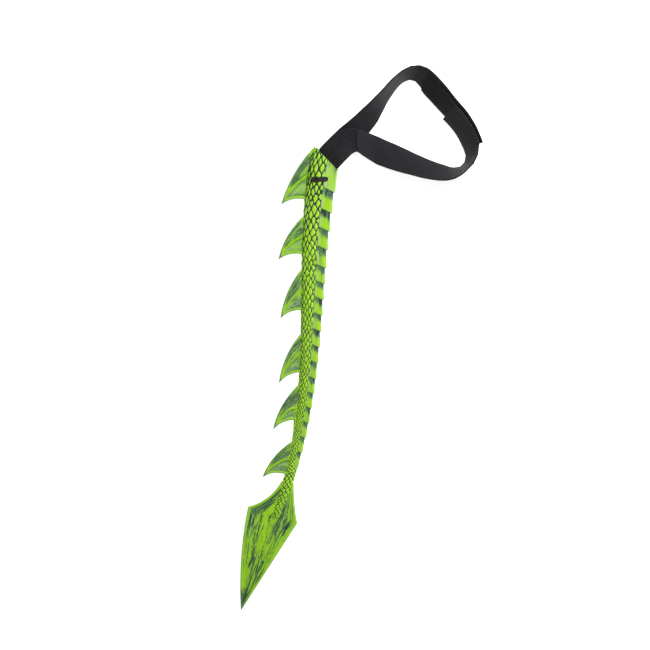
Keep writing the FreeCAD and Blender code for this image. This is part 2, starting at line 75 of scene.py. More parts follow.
MM = 0.001
NEAR = 0.05 * MM
NEAR_SHOULDER = 0.3 * MM  # CAD vertices this close to the shoulder's height count as on it
GRID = 0.45 * MM  # spacing of the points on the foam
BEND = 7 * MM  # a plate that reaches within this far of a flex axis counts as lying over it

# Trunk: scales in a diamond lattice.
TRUNK_COLUMNS = 184  # mesh points round the trunk
SCALE_COLUMNS = (6.2, 14.5)  # scales round the trunk, at its end and higher up
SCALE_SLENDER = (1.15, 2.15)  # length of a scale over its width, at the trunk's end and higher up
SCALE_RELIEF = 0.27  # height of a scale over its width
END_ROUND = 9 * MM  # the trunk's lower end is rounded over this length
SLIT_HALF = 1.9 * MM  # half the opening that the belt comes out of
SLIT_DEPTH = 5 * MM
SLIT_MARGINS = (4 * MM, 1.4 * MM)  # from the slit's ends to the apex and to the front
GROOVE_SINK = 0.55  # share of the scales' height that lies under the CAD skin
UNDER_PLATES = 1.6 * MM  # the trunk lies this far in where plates cover it
FAR = 9.0  # further apart than any two neighbouring scales

# Belly plates.
PLATE_ROWS = 40
PLATE_COLUMNS = 72
PLATE_LIP = 1.7 * MM  # stands out at a plate's lower edge
PLATE_TUCK = 1.0 * MM  # and the upper edge lies this far under the plate above
PLATE_DROP = 0.2  # a plate's front hangs lower than its seam, by this share of the width
PLATE_THICK = 1.5 * MM
PLATE_LAP = 1.2 * MM  # a plate reaches this far up behind the one above
PLATE_SUNK = 2.2 * MM  # at most this far under the trunk's surface
SEAM_COSINE = 0.12  # of the turn at which a plate's shades start, counted from its seam

# Fins and blade.
BLADE_COLUMNS = 120
TUCKED = 6 * MM  # a fin's root lies this far inside the trunk
# Paint of the sheets' side walls: dark for the parting line and as painted shade.
EDGE_PAINT = {"wash_and_shade": 0.85, "pale_and_highlight": 0.0, "tone": 0.6}

# Belt routes, as in the CAD: x and y of the strap's middle in mm, plan bearing from its inner to its
# outer edge and lean of the outer edge upwards in degrees, and height of its lower edge in mm.
BELT_ROOT = (-39.0, 209.9, -44.2)
UPPER_RUN = [
    (-31.5, 218.0, 134, 2, 11.6),
    (-18.5, 231.5, 133, 14, 6.4),
    (-3.3, 246.9, 138, 32, 2.2),
    (8.6, 259.8, 138, 43, 1.0),
    (18.4, 272.4, 134, 56, 0.9),
    (27.5, 284.6, 124, 65, 0.9),
    (37.4, 297.0, 110, 67, 0.9),
    (47.0, 305.7, 96, 66, 0.9),
    (56.8, 310.4, 84, 62, 0.9),
]
HOOK_BEND = [
    (64.6, 309.8, 76, 55, 0.9),
    (72.9, 304.7, 66, 45, 1.0),
    (80.4, 297.0, 57, 42, 1.0),
    (90.0, 286.5, 50, 44, 1.0),
    (102.0, 272.6, 48, 48, 1.0),
]
CLOSURE = [
    (106.0, 268.0, 47, 49, 1.0),
    (117.0, 255.0, 39, 51, 1.0),
    (125.8, 241.0, 28, 53, 1.0),
    (132.3, 225.7, 17, 55, 1.0),
]
LOWER_RUN = [
    (-31.0, 218.4, -46, -3, 15.3),
    (-21.5, 227.3, -50, -12, 12.5),
    (-12.0, 231.0, -64, -18, 8.8),
    (-2.0, 229.0, -81, -14, 6.2),
    (9.0, 224.0, -91, -5, 4.4),
    (22.0, 217.8, -98, 6, 2.4),
    (40.0, 210.6, -103, 20, 1.4),
    (58.0, 203.8, -107, 34, 1.2),
    (76.0, 197.6, -106, 44, 1.2),
    (94.0, 193.4, -99, 53, 1.2),
    (107.0, 193.0, -80, 65, 1.2),
    (118.4, 197.6, -46, 75, 1.2),
]
LOOP_BEND = [
    (125.3, 205.0, -16, 73, 1.0),
    (128.4, 214.0, 5, 66, 1.8),
]
# The CAD shifts the whole model by this much, to put its origin under the middle.
CAD_SHIFT = (0.3, -0.2)
STRAP_WIDTH = 32 * MM
STRAP_THICK = 1.6 * MM
PATCH_WIDTH = 30 * MM
PATCH_THICK = 1.2 * MM
CREASE = 61 * MM  # the lower strap is creased this far from its end in the tail
PLY_GAP = 0.35 * MM
STITCH_ROW = 13.5 * MM  # from the middle of the strap
STITCH_LENGTH = 2.6 * MM
THREAD = (0.05, 0.05, 0.056, 1)
TONGUE = 20 * MM  # the straps go this far into the tail
OUT_OF_TAIL = (0.697, 0.717, 0)  # direction in which they leave it
STRAP_COLUMNS = 31
LOOP_ASIDE = 3.5 * MM  # the loop end is stuck this far off the middle of the hook end
HOOK_ASIDE = 2.2 * MM  # and the hook tape is sewn this far off it

# Each random field has its own salt. A fin adds its number.
SALT_SCALE_X, SALT_SCALE_Y, SALT_SCALE_ROW, SALT_SCALE_TONE = 1, 2, 3, 5
SALT_PLATE = 11
SALT_FIN_STREAK, SALT_FIN_FINE, SALT_FIN_GRAIN = 20, 40, 50
SALT_BLADE_FAN, SALT_BLADE_STREAK, SALT_BLADE_FINE, SALT_BLADE_BROAD = 60, 61, 62, 66
SALT_UPPER, SALT_LOWER, SALT_HOOKS, SALT_LOOPS = 70, 74, 80, 82


# ---- The tail's own frame, and the laws that its trunk follows ----

FLEXES = [j for j in frame["joints"] if j["name"].startswith("tail_flex")]
LENGTHS = [FLEXES[0]["parent"], *[j["child"] for j in FLEXES]]  # the tail's bodies, from the top down


def laid_tail():
    """Slope of the laid tail, and the matrix from the tail's own frame to the row frame, both from
    its first and last flex axes."""
    top, end = Vector(FLEXES[0]["pos_m"]), Vector(FLEXES[-1]["pos_m"])
    tilt = math.atan2(top.z - end.z, top.y - end.y)
    height = top.z - top.y * math.tan(tilt)
    return tilt, Matrix.Translation((0, 0, height)) @ Matrix.Rotation(tilt, 4, "X")


TILT, TAIL = laid_tail()


def tail_points(node):
    """A CAD node's vertices, in the tail's frame."""
    points = np.array([v.co for v in frame["nodes"][node].data.vertices])
    back = np.array(TAIL.inverted())
    return points @ back[:3, :3].T + back[:3, 3]


def near(points, axis, value, reach=NEAR):
    """The points whose coordinate on this axis is about this value."""
    return points[np.abs(points[:, axis] - value) < reach]


def flex_point(number):
    return TAIL.inverted() @ Vector(FLEXES[number]["pos_m"])


FLEX_Y = [flex_point(i).y for i in range(len(FLEXES))]
PLATES = sorted((n for n in frame["nodes"] if n.startswith("belly_plate_")), key=lambda n: int(n[12:]))
SHOULDER = tail_points(PLATES[0])[:, 1].max()
PLATES_END = tail_points(PLATES[-1])[:, 1].min()
APEX = max(tail_points("fin_1"), key=lambda p: p[1])
NOSE_X = near(tail_points("fin_1"), 1, SHOULDER, NEAR_SHOULDER)[:, 0].max()
TRUNK_END = tail_points("right_cover_7")[:, 1].min()


def measured_laws():
    """Spine (cubic), width and half thickness (straight lines) by height y, fitted to the CAD skins."""
    widths, depths = [], []
    for number, y in enumerate(FLEX_Y, start=1):
        skin = tail_points(f"right_cover_{number}")
        base = near(skin, 2, skin[:, 2].min())
        lowest = near(base, 1, base[:, 1].min())
        widths.append(2 * (flex_point(number - 1).x - lowest[:, 0].min()))
        depths.append(skin[skin[:, 1] < y + 5 * MM][:, 2].max())
    width = np.poly1d(np.polyfit(FLEX_Y, widths, 1))
    depth = np.poly1d(np.polyfit(FLEX_Y, depths, 1))
    top = near(tail_points("right_cover_1"), 1, SHOULDER, NEAR_SHOULDER)
    end = near(tail_points("right_cover_7"), 1, TRUNK_END)
    ys = [SHOULDER, *FLEX_Y, TRUNK_END]
    xs = [top[:, 0].min() + width(SHOULDER) / 2, *[flex_point(i).x for i in range(len(FLEXES))]]
    xs.append((end[:, 0].min() + end[:, 0].max()) / 2)
    return np.poly1d(np.polyfit(ys, xs, 3)), width, depth


spine, width, depth = measured_laws()
plate_tops = near(tail_points(PLATES[4]), 1, tail_points(PLATES[4])[:, 1].max())
SEAM_ANGLE = math.acos(2 * (plate_tops[:, 0].min() - spine(plate_tops[0, 1])) / width(plate_tops[0, 1]))
APEX_SHARE = (spine(APEX[1]) - APEX[0]) / (width(APEX[1]) / 2)
SHEET_HALF = tail_points("fin_3")[:, 2].max()


def cap(y):
    """Share of the trunk's width that is left beside the slanted top edge."""
    return 1 - (1 - APEX_SHARE) * np.clip((y - SHOULDER) / (APEX[1] - SHOULDER), 0, 1)


def left(y):
    """The trunk's left side, where the fins are rooted."""
    return spine(y) - width(y) / 2 * cap(y)


# ---- Repeatable noise ----


def chance(i, j, salt):
    """A random number from 0 to 1 for each cell (i, j)."""
    value = np.sin(i * 127.1 + j * 311.7 + salt * 74.7) * 43758.5453
    return value - np.floor(value)


def smooth(t):
    t = np.clip(t, 0, 1)
    return t * t * (3 - 2 * t)


def fade(value, start, end):
    """0 as far as start, 1 from end on, and smooth in between."""
    return smooth((value - start) / (end - start))


def hump(distance, reach):
    """A smooth hump or groove, 1 at distance 0."""
    return np.exp(-((distance / reach) ** 2))


def noise(x, y, salt):
    """A smooth random field from 0 to 1, with a grain of 1."""
    i, j = np.floor(x), np.floor(y)
    u, v = smooth(x - i), smooth(y - j)
    low = chance(i, j, salt) * (1 - u) + chance(i + 1, j, salt) * u
    high = chance(i, j + 1, salt) * (1 - u) + chance(i + 1, j + 1, salt) * u
    return low * (1 - v) + high * v


def cloudy(x, y, salt):
    """Noise with three octaves."""
    fine = noise(x * 2.1, y * 2.1, salt + 1) * 0.5 + noise(x * 4.3, y * 4.3, salt + 2) * 0.25
    return (noise(x, y, salt) + fine) / 1.75


# ---- Meshes ----


def placed(name, data):
    """A new object in the scene."""
    item = bpy.data.objects.new(name, data)
    bpy.context.scene.collection.objects.link(item)
    return item


def tube(name, rings, material, paint=None, uv=None):
    """Closed mesh through rings of points, an array of (rows, columns, 3), with its ends filled.
    Paint is a dict of arrays (rows, columns), which the material reads as attributes."""
    rows, columns = rings.shape[:2]
    ends = [rings[0].mean(axis=0), rings[-1].mean(axis=0)]
    points = np.vstack([rings.reshape(-1, 3), *ends])
    here = np.arange(rows * columns).reshape(rows, columns)
    beside = np.roll(here, -1, axis=1)
    quads = np.stack([here[:-1], beside[:-1], beside[1:], here[1:]], axis=-1).reshape(-1, 4)
    fans = [(rows * columns, b, a) for a, b in zip(here[0].tolist(), beside[0].tolist())]
    fans += [(rows * columns + 1, a, b) for a, b in zip(here[-1].tolist(), beside[-1].tolist())]
    mesh = bpy.data.meshes.new(name)
    mesh.from_pydata(points.tolist(), [], [*quads.tolist(), *fans])
    for key, values in (paint or {}).items():
        attribute = mesh.attributes.new(key, "FLOAT", "POINT")
        padded = np.append(values.ravel(), [values[0].mean(), values[-1].mean()])
        attribute.data.foreach_set("value", padded.astype(np.float32))
    if uv is not None:
        add_uv(mesh, uv.reshape(-1, 2))
    shape = bmesh.new()
    shape.from_mesh(mesh)
    bmesh.ops.recalc_face_normals(shape, faces=shape.faces)
    # Sharp where an end's fan meets the last ring, so that the next piece joins on without a line.
    for edge in shape.edges:
        edge.smooth = len({len(face.verts) for face in edge.link_faces}) == 1
    shape.to_mesh(mesh)
    shape.free()
    mesh.transform(TAIL)
    if "sharp_face" in mesh.attributes:
        mesh.attributes.remove(mesh.attributes["sharp_face"])
    mesh.materials.append(material)
    piece = placed(name, mesh)
    return piece


def add_uv(mesh, uv):
    """Metric texture coordinates, one per point. The filled ends take those of the nearest ring."""
    layer = mesh.uv_layers.new(name="cloth")
    full = np.vstack([uv, uv[0], uv[-1]])
    corners = np.empty(len(mesh.loops), dtype=np.int32)
    mesh.loops.foreach_get("vertex_index", corners)
    layer.data.foreach_set("uv", full[corners].astype(np.float32).ravel())


def polyline_distance(points, line):
    """Plan distance from each point to a polyline."""
    best = np.full(points.shape[:-1], np.inf)
    for start, end in zip(line[:-1], line[1:]):
        step = end - start
        share = np.clip(((points - start) @ step) / max(step @ step, 1e-12), 0, 1)
        reach = points - (start + share[..., None] * step)
        best = np.minimum(best, np.hypot(reach[..., 0], reach[..., 1]))
    return best


def running(line):
    """Length of the polyline up to each of its points."""
    return np.concatenate([[0], np.cumsum(np.linalg.norm(np.diff(line, axis=0), axis=1))])


def unit(vectors):
    return vectors / np.linalg.norm(vectors, axis=-1, keepdims=True)


def resampled(line, count):
    """The polyline with points at even steps along it."""
    run = running(line)
    at = np.linspace(0, run[-1], count)
    return np.stack([np.interp(at, run, line[:, 0]), np.interp(at, run, line[:, 1])], axis=1)


# ---- Materials ----


class Nodes:
    """Short hand for building a material's node tree."""

    def __init__(self, name):
        self.material = bpy.data.materials.new(name)
        self.material.use_nodes = True
        self.tree = self.material.node_tree
        self.shader = self.tree.nodes["Principled BSDF"]

    def add(self, kind, settings=None, **inputs):
        node = self.tree.nodes.new(kind)
        for key, value in (settings or {}).items():
            setattr(node, key, value)
        for key, value in inputs.items():
            self.put(value, node.inputs[key.replace("_", " ")])
        return node

    def put(self, value, socket):
        if isinstance(value, bpy.types.NodeSocket):
            self.tree.links.new(value, socket)
        else:
            socket.default_value = value

    def math(self, operation, a, b=0.5, clamp=False):
        node = self.tree.nodes.new("ShaderNodeMath")
        node.operation = operation
        node.use_clamp = clamp
        self.put(a, node.inputs[0])
        self.put(b, node.inputs[1])
        return node.outputs[0]

    def times(self, a, b):
        return self.math("MULTIPLY", a, b)

    def plus(self, a, b):
        return self.math("ADD", a, b)

    def look(self, **inputs):
        for key, value in inputs.items():
            self.put(value, self.shader.inputs[key.replace("_", " ")])

    def blend(self, share, a, b):
        node = self.tree.nodes.new("ShaderNodeMix")
        node.data_type = "RGBA"
        self.put(share, node.inputs["Factor"])
        self.put(a, node.inputs[6])
        self.put(b, node.inputs[7])
        return node.outputs[2]

    def attribute(self, name):
        return self.add("ShaderNodeAttribute", {"attribute_name": name}).outputs["Fac"]

    def noise(self, scale, detail=2.0, stretch=(1, 1, 1), where="Object"):
        place = self.add("ShaderNodeTexCoord").outputs[where]
        mapping = self.add("ShaderNodeMapping", Vector=place, Scale=stretch)
        texture = self.add("ShaderNodeTexNoise", Vector=mapping.outputs[0], Scale=scale, Detail=detail)
        return texture.outputs["Fac"]

    def ramp(self, value, low, high):
        settings = {"interpolation_type": "SMOOTHSTEP"}
        node = self.add("ShaderNodeMapRange", settings, Value=value, From_Min=low, From_Max=high)
        return node.outputs[0]

    def bump(self, height, strength, distance):
        node = self.add("ShaderNodeBump", Height=height, Strength=strength, Distance=distance)
        self.look(Normal=node.outputs[0])

    def cloth_place(self):
        return self.add("ShaderNodeUVMap", {"uv_map": "cloth"}).outputs[0]


# Colours of the dark wash, which also carry painted shade. The deepest also paints the shade in the
# slit, under the plates and on their hidden faces.
DARK_WASH_AND_SHADE = (0.045, 0.13, 0.05, 1)
DEEP_WASH_AND_SHADE = (0.004, 0.016, 0.010, 1)


def foam_paint(name, lime, leaf, pale_and_highlight_colour):
    """Semi-gloss lime paint over moulded foam, with a dark wash that also carries painted shade, and
    dry-brushed tops whose pale paint also carries painted highlights.
    """
    nodes = Nodes(name)
    wash_and_shade, pale_and_highlight, tone = (nodes.attribute(key) for key in ("wash_and_shade", "pale_and_highlight", "tone"))
    patches = nodes.noise(120, 3)
    grain = nodes.noise(700, 2)
    mottled = nodes.plus(nodes.times(patches, 0.55), nodes.times(tone, 0.45))
    body = nodes.blend(nodes.ramp(mottled, 0.38, 0.72), lime, leaf)
    # The dark wash with its painted shade goes over the body, then the pale paint with its painted
    # highlights.
    ragged = nodes.plus(wash_and_shade, nodes.times(nodes.math("SUBTRACT", grain, 0.5), 0.35))
    washed_and_shaded = nodes.blend(nodes.ramp(ragged, 0.12, 0.72), body, DARK_WASH_AND_SHADE)
    deep = nodes.blend(nodes.ramp(ragged, 0.72, 1.0), washed_and_shaded, DEEP_WASH_AND_SHADE)
    pale_and_highlight_share = nodes.times(pale_and_highlight, nodes.ramp(grain, 0.25, 0.7))
    colour = nodes.blend(pale_and_highlight_share, deep, pale_and_highlight_colour)
    rough = nodes.plus(nodes.times(patches, 0.2), 0.3)
    rough = nodes.plus(rough, nodes.times(wash_and_shade, 0.15))
    nodes.look(Base_Color=colour, Roughness=rough, Specular_IOR_Level=0.35)
    nodes.bump(nodes.noise(1300, 2), 0.25, 0.15 * MM)
    return nodes.material


# The third colour is the pale paint, which also carries the painted highlights.
SKIN_FOAM = foam_paint(
    "foam_skin", (0.35, 0.66, 0.012, 1), (0.27, 0.55, 0.012, 1), (0.55, 0.78, 0.16, 1)
)
PLATE_FOAM = foam_paint(
    "foam_plate", (0.26, 0.51, 0.004, 1), (0.19, 0.41, 0.006, 1), (0.40, 0.54, 0.25, 1)
)
SHEET_FOAM = foam_paint(
    "foam_sheet", (0.30, 0.60, 0.006, 1), (0.17, 0.40, 0.010, 1), (0.26, 0.40, 0.17, 1)
)


def paint_of(wash_and_shade, pale_and_highlight, tone):
    """Paint for a foam piece, with the dark share (wash and painted shade) and the pale share (pale
    paint and painted highlights) kept from 0 to 1.
    """
    return {"wash_and_shade": np.clip(wash_and_shade, 0, 1), "pale_and_highlight": np.clip(pale_and_highlight, 0, 1), "tone": tone}


def foam_piece(piece, *nodes):
    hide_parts(*nodes)


# ---- Trunk ----


def even_angles(columns):
    """Angles at even steps round the trunk."""
    ratio = 2 * depth(0) / width(0)
    fine = np.linspace(0, 2 * np.pi, 2001)
    speed = np.hypot(np.sin(fine), ratio * np.cos(fine))
    run = np.concatenate([[0], np.cumsum((speed[1:] + speed[:-1]) / 2)])
    return np.interp(np.arange(columns) / columns, run / run[-1], fine)


TURNS = even_angles(TRUNK_COLUMNS)


def girth(y):
    """Length round the trunk, by Ramanujan's formula."""
    a, b = width(y) / 2, depth(y)
    return np.pi * (3 * (a + b) - np.sqrt((3 * a + b) * (a + 3 * b)))


def scale_count(y):
    """Scales round the trunk at y."""
    return np.interp(y, [PLATES_END - 15 * MM, PLATES_END + 45 * MM], SCALE_COLUMNS)


def scale_rows(y):
    """Rows of scales below each height, two to a scale's length."""
    slender = np.interp(y, [PLATES_END, PLATES_END + 90 * MM], SCALE_SLENDER)
    length = slender * girth(y) / scale_count(y)
    return np.cumsum(2 / length) * (y[1] - y[0])


SCALE_Y = np.linspace(TRUNK_END - 10 * MM, APEX[1] + 10 * MM, 2000)
SCALE_RUN = scale_rows(SCALE_Y)


def scales(around, y):
    """Relief of the scales from 0 in the grooves to 1, the share of groove, each scale's own tone, and
    the way down and aside from its middle."""
    a = (around - 0.5) * 2 * scale_count(y)
    b = np.interp(y, SCALE_Y, SCALE_RUN)
    a = a + (noise(b * 0.35, around * 9, SALT_SCALE_ROW) - 0.5) * 0.7
    low = fade(y, PLATES_END + 60 * MM, PLATES_END - 20 * MM)
    high = fade(y, SHOULDER - 90 * MM, SHOULDER - 30 * MM)
    power = 1.35 + 0.45 * low
    nearest = second = np.full(a.shape, FAR)
    down = aside = tone = np.zeros(a.shape)
    for di in range(-2, 3):
        for dj in range(-2, 3):
            i, j = np.floor(a) + di, np.floor(b) + dj
            x = i + (chance(i, j, SALT_SCALE_X) - 0.5) * 0.75
            z = j + (chance(i, j, SALT_SCALE_Y) - 0.5) * 0.75
            gap = (np.abs(a - x) ** power + np.abs(b - z) ** power) ** (1 / power)
            gap = np.where(np.mod(i + j, 2) == 0, gap, FAR)
            closer = gap < nearest
            second = np.where(closer, nearest, np.minimum(second, gap))
            down = np.where(closer, z - b, down)
            aside = np.where(closer, a - x, aside)
            tone = np.where(closer, chance(i, j, SALT_SCALE_TONE), tone)
            nearest = np.where(closer, gap, nearest)
    margin = second - nearest
    dome = 1 - (1 - np.clip(margin / 1.3, 0, 1)) ** 2.4
    relief = dome * (0.72 + 0.28 * np.clip(down, -1, 1))
    groove = (1 - fade(margin, 0.07 + 0.07 * high, 0.41 + 0.17 * high)) * (1 - 0.08 * low)
    return relief, groove, tone, down, aside


def trunk_rings(heights):
    """Rings round the trunk at these heights, an array of heights by columns."""
    around = np.broadcast_to(np.arange(TRUNK_COLUMNS) / TRUNK_COLUMNS, heights.shape)
    angle = np.broadcast_to(TURNS, heights.shape)
    relief, groove, tone, down, aside = scales(around, heights)
    tall = SCALE_RELIEF * girth(heights) / scale_count(heights)
    off_centre = np.abs(np.mod(angle + np.pi, 2 * np.pi) - np.pi)
    covered = fade(off_centre, SEAM_ANGLE, SEAM_ANGLE - 0.25)
    covered = covered * fade(heights, PLATES_END, PLATES_END + 2 * MM)
    to_end = np.clip((TRUNK_END + END_ROUND - heights) / END_ROUND, 0, 1)
    taper = np.sqrt(np.clip(1 - to_end**2.4, 0.0004, 1))
    sink = GROOVE_SINK * tall + covered * UNDER_PLATES - tall * relief * (1 - covered)
    swell = 1 + 0.14 * fade(heights, PLATES_END + 10 * MM, PLATES_END - 30 * MM)
    half = width(heights) / 2 * cap(heights) * swell
    high = depth(heights) * (0.7 + 0.3 * cap(heights))
    normal = unit(np.stack([np.cos(angle) / half, np.sin(angle) / high], axis=-1))
    x = (half * np.cos(angle) - sink * normal[..., 0]) * taper
    z = (high * np.sin(angle) - sink * normal[..., 1]) * taper
    rings = np.stack([spine(heights) + x, heights, z], axis=-1)
    # Painted shade: darker towards the left side where the fins join, fully dark under the plates, on
    # each scale's lower corner and beside the plates. The grooves take the dark wash, deepened as
    # painted shade, and the high part of each scale takes a painted highlight over dry-brushed pale
    # paint.
    side = fade(np.abs(angle - np.pi), 0.1, 0.6)
    corner = smooth(0.1 + 0.85 * (down - aside * np.sign(np.sin(angle))))
    shade_by_plates = fade(np.cos(angle), 0.05, 0.4) * fade(heights, PLATES_END, PLATES_END + 20 * MM)
    paint = {
        "wash_and_shade": np.clip(groove + (1 - side) * 0.35 + covered + 0.18 * corner, 0, 1)
        + 0.15 * fade(tone, 0.72, 0.92)
        + 0.15 * shade_by_plates,
        "pale_and_highlight": 0.8 * fade(relief, 0.66, 0.91) * smooth(0.7 - down),
        "tone": tone * 0.7,
    }
    return rings, paint


def slant_height(x):
    """Height of the tail's slanted top edge at x."""
    slope = (APEX[1] - SHOULDER) / (APEX[0] - NOSE_X)
    return SHOULDER + (x - NOSE_X) * slope


def top_heights(low):
    """Heights for the topmost piece, whose upper rows lean over to the slanted edge."""
    rows = int((APEX[1] - low) / GRID)
    share = np.linspace(1, 0, rows + 1)[:, None]
    heights = np.broadcast_to(low + share * (SHOULDER - low), (rows + 1, TRUNK_COLUMNS))
    for _ in range(4):
        x = spine(heights) + width(heights) / 2 * cap(heights) * np.cos(TURNS)
        heights = low + share * (slant_height(x) - low)
    return heights


def with_slit(rings, paint):
    """Closes the slanted top with a flat face, and a slit that the belt comes out of."""
    edge = rings[0]
    mouth = edge.copy()
    mouth[:, 0] = np.clip(edge[:, 0], APEX[0] + SLIT_MARGINS[0], NOSE_X - SLIT_MARGINS[1])
    mouth[:, 1] = slant_height(mouth[:, 0])
    mouth[:, 2] = np.clip(edge[:, 2], -SLIT_HALF, SLIT_HALF)
    inside = mouth.copy()
    inside[:, :2] -= 0.7 * SLIT_DEPTH
    rings = np.concatenate([[inside], [mouth], rings])
    # The slit and the flat face round it take the darkest paint: painted shade in the slit.
    for key, value in (("wash_and_shade", 1.0), ("pale_and_highlight", 0.0), ("tone", 0.5)):
        face = np.full((2, TRUNK_COLUMNS), value)
        paint[key] = np.concatenate([face, paint[key]])
    return rings, paint


def piece_top(index):
    """Height where a piece of trunk begins, halfway between two flex axes."""
    return (FLEX_Y[index - 1] + FLEX_Y[index]) / 2


def blend_over_flex(piece):
    """Bakes the piece's placement into its mesh."""
    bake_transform(piece)


def make_trunk():
    for index in range(len(FLEXES)):
        low = TRUNK_END if index == len(FLEXES) - 1 else piece_top(index + 1)
        if index == 0:
            rings, paint = trunk_rings(top_heights(low))
            rings, paint = with_slit(rings, paint)
        else:
            high = piece_top(index)
            rows = int((high - low) / GRID)
            heights = np.linspace(high, low, rows + 1)[:, None] * np.ones(TRUNK_COLUMNS)
            rings, paint = trunk_rings(heights)
        piece = tube(f"scaly_trunk_{index + 1}", rings, SKIN_FOAM, paint)
        blend_over_flex(piece)
        covers = [index + 1] if index < len(FLEXES) - 1 else [index + 1, index + 2]
        foam_piece(piece, *[f"{side}_cover_{n}" for n in covers for side in ("left", "right")])


# ---- Belly plates ----


def plate_edges():
    """Heights of the plates' edges from the top down. Next to a flex axis they meet on it."""
    edges = [SHOULDER]
    for upper, lower in zip(PLATES, PLATES[1:]):
        edges.append((tail_points(upper)[:, 1].min() + tail_points(lower)[:, 1].max()) / 2)
    return [*edges, PLATES_END]


def plate_rings(top, bottom, first):
    """Rings across a plate, from its upper edge under the plate above to its lip. Each ring runs over
    the outer face and back over the inner one."""
    share = np.linspace(0, 1, PLATE_ROWS + 1)
    share = np.concatenate([share, [1.0]])[:, None]
    half_count = PLATE_COLUMNS // 2  # fewer points on the hidden face
    outer = np.linspace(SEAM_ANGLE, -SEAM_ANGLE, PLATE_COLUMNS)
    inner = np.linspace(-SEAM_ANGLE, SEAM_ANGLE, half_count)
    angle = np.concatenate([outer, inner])[None, :]
    is_inner = np.concatenate([np.zeros(PLATE_COLUMNS), np.ones(half_count)])[None, :]
    size = (0.5 + width((top + bottom) / 2) / width(SHOULDER)) / 1.5
    y = top + PLATE_LAP - share * (top + PLATE_LAP - bottom)
    forward = (np.cos(angle) - SEAM_COSINE) / (1 - SEAM_COSINE)
    y = y + PLATE_DROP * width(top) * (0.5 - forward)
    curl = -0.9 * MM * fade(share, 0.84, 1) ** 2
    flare = size * ((PLATE_LIP + PLATE_TUCK) * share**1.4 - PLATE_TUCK)
    rim = np.zeros_like(share)
    rim[-2:, 0] = -0.25 * MM, -0.7 * MM
    edge = 1 - fade(np.abs(angle), SEAM_ANGLE, SEAM_ANGLE - 0.14)
    out = flare + curl + rim - is_inner * PLATE_THICK - edge * (0.35 * MM) * (1 - is_inner)
    out = np.maximum(out, -PLATE_SUNK - is_inner * PLATE_THICK)
    half, high = width(y) / 2 + out, depth(y) + out * 0.35
    x = spine(y) + half * np.cos(angle)
    if first:
        y = np.minimum(y, slant_height(x) + 0.1 * MM)
    rings = np.stack([x, y, high * np.sin(angle) * np.ones_like(y)], axis=-1)
    streak = cloudy(forward * 6 + top * 900, share * 1.6, SALT_PLATE)
    # Painted shade under the plate above, together with the wash: darkest at the top and towards the
    # front, in streaks.
    shade = fade(share, 0.64, 0.18) * (0.5 + 0.4 * forward) * (0.75 + 0.5 * streak)
    wash_and_shade = np.clip(shade * (0.45 if first else 1.0) + 0.35 * fade(streak, 0.55, 0.7), 0, 1)
    # Painted shadow at the lip's end, painted shade on the hidden inner face, and a dark line along the
    # seam.
    wash_and_shade = np.maximum(wash_and_shade, 0.9 * fade(share, 0.985, 0.995))
    wash_and_shade = np.maximum(wash_and_shade, np.maximum(is_inner, edge))
    # Painted highlights: a pale band along the inner bevel and a line along the lip. The first plate
    # also gets mottled pale paint.
    inner_edge_highlight = fade(forward, 0, 0.05) * fade(forward, 0.34, 0.14)
    pale_and_highlight = inner_edge_highlight * (0.5 + 0.6 * streak) * fade(share, 0.2, 0.5)
    pale_and_highlight = pale_and_highlight + 0.25 * fade(share, 0.86, 0.96) + (0.5 * streak if first else 0)
    shape = rings.shape[:2]
    paint = paint_of(wash_and_shade, pale_and_highlight * (1 - is_inner), 0.25 + 0.5 * streak * (1 - share))
    return rings, {key: np.broadcast_to(values, shape) for key, values in paint.items()}


def make_plates():
    edges = plate_edges()
    for number, (top, bottom) in enumerate(zip(edges, edges[1:]), start=1):
        start = slant_height(spine(SHOULDER)) - 3 * MM if number == 1 else top
        rings, paint = plate_rings(start, bottom, number == 1)
        piece = tube(f"plate_{number}", rings, PLATE_FOAM, paint)
        middle = (top + bottom) / 2
        close = min(range(len(FLEX_Y)), key=lambda i: abs(FLEX_Y[i] - middle))
        if abs(FLEX_Y[close] - middle) < (top - bottom) / 2 + BEND:
            blend_over_flex(piece)
        else:
            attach(piece, LENGTHS[sum(y > middle for y in FLEX_Y)])
        foam_piece(piece, PLATES[number - 1])


# ---- Fins and blade ----


def outline(node):
    """Border of a sheet node's upper face, as plan points in order round it."""
    points = tail_points(node)
    border = {}
    for face in frame["nodes"][node].data.polygons:
        corners = list(face.vertices)
        if np.ptp(points[corners, 2]) < NEAR and points[corners[0], 2] > SHEET_HALF - NEAR:
            for a, b in zip(corners, corners[1:] + corners[:1]):
                if (b, a) in border:
                    del border[(b, a)]
                else:
                    border[(a, b)] = True
    following = {a: b for a, b in border}
    loops = []
    while following:
        start, here = following.popitem()
        loop = [start]
        while here != start:
            loop.append(here)
            here = following.pop(here)
        loops.append(points[loop, :2])
    return max(loops, key=lambda loop: running(loop)[-1])


def walk(loop, start, step, stop):
    """Points of the loop from an index onwards, up to the first where stop(point) is true."""
    chain = [loop[start]]
    i = start
    while not stop(chain[-1]):
        i = (i + step) % len(loop)
        chain.append(loop[i])
    return np.array(chain[::-1])


def fin_edges(node):
    """Upper and lower edge of a fin, from its root to its tip."""
    loop = outline(node)
    tip = int(np.argmin(loop[:, 0]))

    def rooted(point):
        return point[0] > left(point[1]) - 0.2 * MM

    one, other = (walk(loop, tip, way, rooted) for way in (1, -1))
    one, other = (line[line[:, 0] < left(line[:, 1]) + 3 * MM] for line in (one, other))
    upper, lower = (one, other) if one[0, 1] > other[0, 1] else (other, one)
    upper = np.vstack([upper[0] + [TUCKED, -3 * MM], upper])
    lower = np.vstack([lower[0] + [TUCKED, 2 * MM], lower])
    return upper, lower


